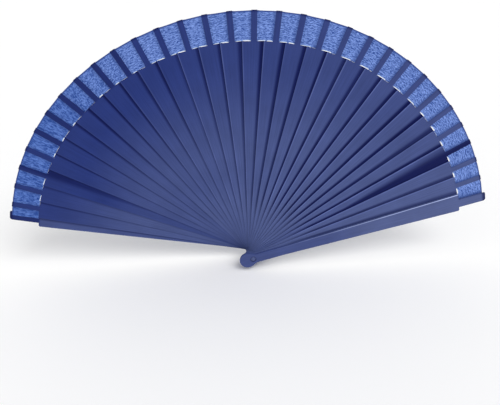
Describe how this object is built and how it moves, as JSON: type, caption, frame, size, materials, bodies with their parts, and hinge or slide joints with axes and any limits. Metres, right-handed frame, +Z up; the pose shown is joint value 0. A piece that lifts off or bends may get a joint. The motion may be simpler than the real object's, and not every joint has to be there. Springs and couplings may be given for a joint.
{
  "type": "folding hand fan",
  "caption": "Open folding hand fan: thin blue wooden sticks between two thicker guards, turning on one rivet, with a light blue cloth band behind the ribs at the rim.",
  "frame": {"origin": "on the rivet's axis, in the plane of the rear guard's outer face", "axes": "+Y along the rivet's axis, from the front guard to the rear guard, so the fan's front looks towards -Y; +Z up along the open fan's middle; +X to the right as seen from the front, towards the front guard"},
  "size_m": [0.4262, 0.0258, 0.2295],
  "materials": {
    "blue_wood": "dark blue paint rubbed thin over close, straight grain, satin",
    "blue_metal": "painted blue over the rivet's domed head, satin",
    "steel": "plain pressed washer, lightly brushed",
    "blue_cloth": "thin light blue cloth with a small woven figure and a satin sheen"
  },
  "bodies": {
    "rear_guard": {"rear_guard": "blue_wood", "rivet": "blue_metal", "rear_washer": "steel", "leaf": "blue_cloth"},
    "stick_01": {"stick_01": "blue_wood"},
    "stick_02": {"stick_02": "blue_wood"},
    "stick_03": {"stick_03": "blue_wood"},
    "stick_04": {"stick_04": "blue_wood"},
    "stick_05": {"stick_05": "blue_wood"},
    "stick_06": {"stick_06": "blue_wood"},
    "stick_07": {"stick_07": "blue_wood"},
    "stick_08": {"stick_08": "blue_wood"},
    "stick_09": {"stick_09": "blue_wood"},
    "stick_10": {"stick_10": "blue_wood"},
    "stick_11": {"stick_11": "blue_wood"},
    "stick_12": {"stick_12": "blue_wood"},
    "stick_13": {"stick_13": "blue_wood"},
    "stick_14": {"stick_14": "blue_wood"},
    "stick_15": {"stick_15": "blue_wood"},
    "stick_16": {"stick_16": "blue_wood"},
    "stick_17": {"stick_17": "blue_wood"},
    "stick_18": {"stick_18": "blue_wood"},
    "stick_19": {"stick_19": "blue_wood"},
    "stick_20": {"stick_20": "blue_wood"},
    "stick_21": {"stick_21": "blue_wood"},
    "stick_22": {"stick_22": "blue_wood"},
    "stick_23": {"stick_23": "blue_wood"},
    "stick_24": {"stick_24": "blue_wood"},
    "stick_25": {"stick_25": "blue_wood"},
    "stick_26": {"stick_26": "blue_wood"},
    "stick_27": {"stick_27": "blue_wood"},
    "stick_28": {"stick_28": "blue_wood"},
    "stick_29": {"stick_29": "blue_wood"},
    "stick_30": {"stick_30": "blue_wood"},
    "front_guard": {"front_guard": "blue_wood"}
  },
  "joints": [
    {"name": "fold_01", "type": "hinge", "parent": "rear_guard", "child": "stick_01", "pos_m": [0, 0, 0], "axis": [0, -1, 0], "range_deg": [0, 3], "deforming": ["leaf"]},
    {"name": "fold_02", "type": "hinge", "parent": "stick_01", "child": "stick_02", "pos_m": [0, 0, 0], "axis": [0, -1, 0], "range_deg": [0, 5], "deforming": ["leaf"]},
    {"name": "fold_03", "type": "hinge", "parent": "stick_02", "child": "stick_03", "pos_m": [0, 0, 0], "axis": [0, -1, 0], "range_deg": [0, 5], "deforming": ["leaf"]},
    {"name": "fold_04", "type": "hinge", "parent": "stick_03", "child": "stick_04", "pos_m": [0, 0, 0], "axis": [0, -1, 0], "range_deg": [0, 5], "deforming": ["leaf"]},
    {"name": "fold_05", "type": "hinge", "parent": "stick_04", "child": "stick_05", "pos_m": [0, 0, 0], "axis": [0, -1, 0], "range_deg": [0, 5], "deforming": ["leaf"]},
    {"name": "fold_06", "type": "hinge", "parent": "stick_05", "child": "stick_06", "pos_m": [0, 0, 0], "axis": [0, -1, 0], "range_deg": [0, 5], "deforming": ["leaf"]},
    {"name": "fold_07", "type": "hinge", "parent": "stick_06", "child": "stick_07", "pos_m": [0, 0, 0], "axis": [0, -1, 0], "range_deg": [0, 5], "deforming": ["leaf"]},
    {"name": "fold_08", "type": "hinge", "parent": "stick_07", "child": "stick_08", "pos_m": [0, 0, 0], "axis": [0, -1, 0], "range_deg": [0, 5], "deforming": ["leaf"]},
    {"name": "fold_09", "type": "hinge", "parent": "stick_08", "child": "stick_09", "pos_m": [0, 0, 0], "axis": [0, -1, 0], "range_deg": [0, 5], "deforming": ["leaf"]},
    {"name": "fold_10", "type": "hinge", "parent": "stick_09", "child": "stick_10", "pos_m": [0, 0, 0], "axis": [0, -1, 0], "range_deg": [0, 5], "deforming": ["leaf"]},
    {"name": "fold_11", "type": "hinge", "parent": "stick_10", "child": "stick_11", "pos_m": [0, 0, 0], "axis": [0, -1, 0], "range_deg": [0, 5], "deforming": ["leaf"]},
    {"name": "fold_12", "type": "hinge", "parent": "stick_11", "child": "stick_12", "pos_m": [0, 0, 0], "axis": [0, -1, 0], "range_deg": [0, 5], "deforming": ["leaf"]},
    {"name": "fold_13", "type": "hinge", "parent": "stick_12", "child": "stick_13", "pos_m": [0, 0, 0], "axis": [0, -1, 0], "range_deg": [0, 5], "deforming": ["leaf"]},
    {"name": "fold_14", "type": "hinge", "parent": "stick_13", "child": "stick_14", "pos_m": [0, 0, 0], "axis": [0, -1, 0], "range_deg": [0, 5], "deforming": ["leaf"]},
    {"name": "fold_15", "type": "hinge", "parent": "stick_14", "child": "stick_15", "pos_m": [0, 0, 0], "axis": [0, -1, 0], "range_deg": [0, 5], "deforming": ["leaf"]},
    {"name": "fold_16", "type": "hinge", "parent": "stick_15", "child": "stick_16", "pos_m": [0, 0, 0], "axis": [0, -1, 0], "range_deg": [0, 5], "deforming": ["leaf"]},
    {"name": "fold_17", "type": "hinge", "parent": "stick_16", "child": "stick_17", "pos_m": [0, 0, 0], "axis": [0, -1, 0], "range_deg": [0, 5], "deforming": ["leaf"]},
    {"name": "fold_18", "type": "hinge", "parent": "stick_17", "child": "stick_18", "pos_m": [0, 0, 0], "axis": [0, -1, 0], "range_deg": [0, 5], "deforming": ["leaf"]},
    {"name": "fold_19", "type": "hinge", "parent": "stick_18", "child": "stick_19", "pos_m": [0, 0, 0], "axis": [0, -1, 0], "range_deg": [0, 5], "deforming": ["leaf"]},
    {"name": "fold_20", "type": "hinge", "parent": "stick_19", "child": "stick_20", "pos_m": [0, 0, 0], "axis": [0, -1, 0], "range_deg": [0, 5], "deforming": ["leaf"]},
    {"name": "fold_21", "type": "hinge", "parent": "stick_20", "child": "stick_21", "pos_m": [0, 0, 0], "axis": [0, -1, 0], "range_deg": [0, 5], "deforming": ["leaf"]},
    {"name": "fold_22", "type": "hinge", "parent": "stick_21", "child": "stick_22", "pos_m": [0, 0, 0], "axis": [0, -1, 0], "range_deg": [0, 5], "deforming": ["leaf"]},
    {"name": "fold_23", "type": "hinge", "parent": "stick_22", "child": "stick_23", "pos_m": [0, 0, 0], "axis": [0, -1, 0], "range_deg": [0, 5], "deforming": ["leaf"]},
    {"name": "fold_24", "type": "hinge", "parent": "stick_23", "child": "stick_24", "pos_m": [0, 0, 0], "axis": [0, -1, 0], "range_deg": [0, 5], "deforming": ["leaf"]},
    {"name": "fold_25", "type": "hinge", "parent": "stick_24", "child": "stick_25", "pos_m": [0, 0, 0], "axis": [0, -1, 0], "range_deg": [0, 5], "deforming": ["leaf"]},
    {"name": "fold_26", "type": "hinge", "parent": "stick_25", "child": "stick_26", "pos_m": [0, 0, 0], "axis": [0, -1, 0], "range_deg": [0, 5], "deforming": ["leaf"]},
    {"name": "fold_27", "type": "hinge", "parent": "stick_26", "child": "stick_27", "pos_m": [0, 0, 0], "axis": [0, -1, 0], "range_deg": [0, 5], "deforming": ["leaf"]},
    {"name": "fold_28", "type": "hinge", "parent": "stick_27", "child": "stick_28", "pos_m": [0, 0, 0], "axis": [0, -1, 0], "range_deg": [0, 5], "deforming": ["leaf"]},
    {"name": "fold_29", "type": "hinge", "parent": "stick_28", "child": "stick_29", "pos_m": [0, 0, 0], "axis": [0, -1, 0], "range_deg": [0, 5], "deforming": ["leaf"]},
    {"name": "fold_30", "type": "hinge", "parent": "stick_29", "child": "stick_30", "pos_m": [0, 0, 0], "axis": [0, -1, 0], "range_deg": [0, 5], "deforming": ["leaf"]},
    {"name": "fold_31", "type": "hinge", "parent": "stick_30", "child": "front_guard", "pos_m": [0, 0, 0], "axis": [0, -1, 0], "range_deg": [0, 5], "deforming": ["leaf"]}
  ],
  "couplings": [
    {"joint": "fold_01", "follows": "fold_02", "ratio": 0.6},
    {"joint": "fold_03", "follows": "fold_02", "ratio": 1},
    {"joint": "fold_04", "follows": "fold_02", "ratio": 1},
    {"joint": "fold_05", "follows": "fold_02", "ratio": 1},
    {"joint": "fold_06", "follows": "fold_02", "ratio": 1},
    {"joint": "fold_07", "follows": "fold_02", "ratio": 1},
    {"joint": "fold_08", "follows": "fold_02", "ratio": 1},
    {"joint": "fold_09", "follows": "fold_02", "ratio": 1},
    {"joint": "fold_10", "follows": "fold_02", "ratio": 1},
    {"joint": "fold_11", "follows": "fold_02", "ratio": 1},
    {"joint": "fold_12", "follows": "fold_02", "ratio": 1},
    {"joint": "fold_13", "follows": "fold_02", "ratio": 1},
    {"joint": "fold_14", "follows": "fold_02", "ratio": 1},
    {"joint": "fold_15", "follows": "fold_02", "ratio": 1},
    {"joint": "fold_16", "follows": "fold_02", "ratio": 1},
    {"joint": "fold_17", "follows": "fold_02", "ratio": 1},
    {"joint": "fold_18", "follows": "fold_02", "ratio": 1},
    {"joint": "fold_19", "follows": "fold_02", "ratio": 1},
    {"joint": "fold_20", "follows": "fold_02", "ratio": 1},
    {"joint": "fold_21", "follows": "fold_02", "ratio": 1},
    {"joint": "fold_22", "follows": "fold_02", "ratio": 1},
    {"joint": "fold_23", "follows": "fold_02", "ratio": 1},
    {"joint": "fold_24", "follows": "fold_02", "ratio": 1},
    {"joint": "fold_25", "follows": "fold_02", "ratio": 1},
    {"joint": "fold_26", "follows": "fold_02", "ratio": 1},
    {"joint": "fold_27", "follows": "fold_02", "ratio": 1},
    {"joint": "fold_28", "follows": "fold_02", "ratio": 1},
    {"joint": "fold_29", "follows": "fold_02", "ratio": 1},
    {"joint": "fold_30", "follows": "fold_02", "ratio": 1},
    {"joint": "fold_31", "follows": "fold_02", "ratio": 1}
  ]
}
